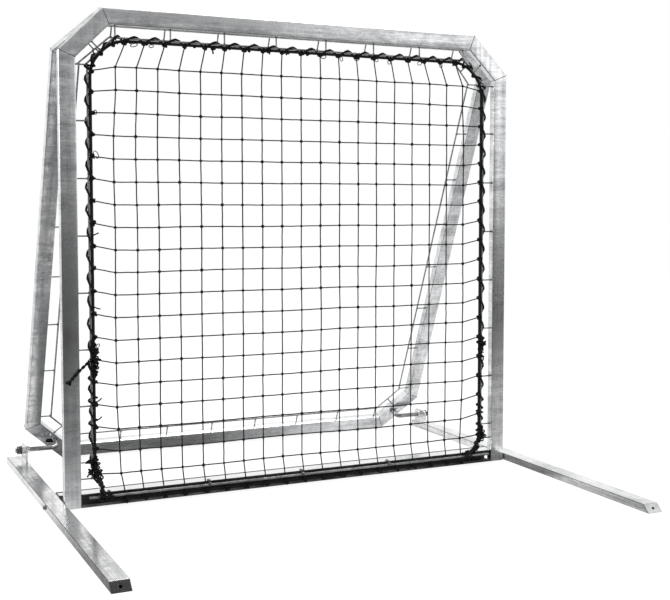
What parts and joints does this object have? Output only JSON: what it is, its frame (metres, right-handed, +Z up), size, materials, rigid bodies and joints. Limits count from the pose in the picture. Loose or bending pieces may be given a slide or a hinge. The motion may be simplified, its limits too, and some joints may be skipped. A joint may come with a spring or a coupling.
{
  "type": "pitch back rebounder",
  "caption": "Free-standing ball rebounder: a laced net in an upright tube frame on foot rails, with a second tube frame hinged behind it as a leaning brace.",
  "frame": {"origin": "on the ground, at the middle of the footprint of the whole part", "axes": "+X across, to the viewer's right when seen from the net side; +Y from the net side to the back, where the leaning frame stands; +Z up"},
  "size_m": [1.6604, 1.5724, 1.5085],
  "materials": {
    "tube": "hot-dip galvanised, dull and faintly mottled",
    "rods": "galvanised round bar",
    "hardware": "darker zinc-plated steel",
    "cord": "black braided cord"
  },
  "bodies": {
    "base": {"front_top_bar": "tube", "front_upright_left": "tube", "front_upright_right": "tube", "front_corner_left": "tube", "front_corner_right": "tube", "bottom_channel": "tube", "net_rail_top": "rods", "net_rail_left": "rods", "net_rail_right": "rods", "net_rail_corner_left": "rods", "net_rail_corner_right": "rods", "net": "cord", "net_lower_meshes": "cord", "border_cord": "cord", "lacing_rope": "cord", "lacing_knots": "cord", "lacing_tail": "cord", "net_rod": "rods", "net_rod_hooks": "rods", "foot_rail_left": "tube", "foot_rail_right": "tube", "rail_end_plates": "tube", "cross_tube": "tube", "cross_spigots": "tube", "rail_bolts": "hardware", "rail_spacers": "hardware", "rail_nuts": "hardware", "front_hinge_leaves": "hardware", "hinge_pins": "rods", "lock_bracket_left": "hardware", "lock_bracket_right": "hardware"},
    "rear_frame": {"rear_hinge_leaves": "hardware", "rear_top_bar": "tube", "rear_bottom_bar": "tube", "rear_upright_left": "tube", "rear_upright_right": "tube", "rear_corner_top_left": "tube", "rear_corner_top_right": "tube", "rear_corner_bottom_left": "tube", "rear_corner_bottom_right": "tube", "rear_rail_top": "rods", "rear_rail_bottom": "rods", "rear_rail_left": "rods", "rear_rail_right": "rods", "rear_rail_corner_top_left": "rods", "rear_rail_corner_top_right": "rods", "rear_rail_corner_bottom_left": "rods", "rear_rail_corner_bottom_right": "rods"},
    "lock_left": {"lock_rod_left": "hardware", "lock_washer_left": "hardware", "lock_nut_left": "hardware"},
    "lock_right": {"lock_rod_right": "hardware", "lock_washer_right": "hardware", "lock_nut_right": "hardware"}
  },
  "joints": [
    {"name": "rear_frame_hinge", "type": "hinge", "parent": "base", "child": "rear_frame", "pos_m": [0, 0.07189, 1.49], "axis": [1, 0, 0], "range_deg": [0, 65]},
    {"name": "lock_left_slide", "type": "slide", "parent": "base", "child": "lock_left", "axis": [-1, 0, 0], "range_m": [0, 0.018]},
    {"name": "lock_right_slide", "type": "slide", "parent": "base", "child": "lock_right", "axis": [1, 0, 0], "range_m": [0, 0.018]}
  ]
}
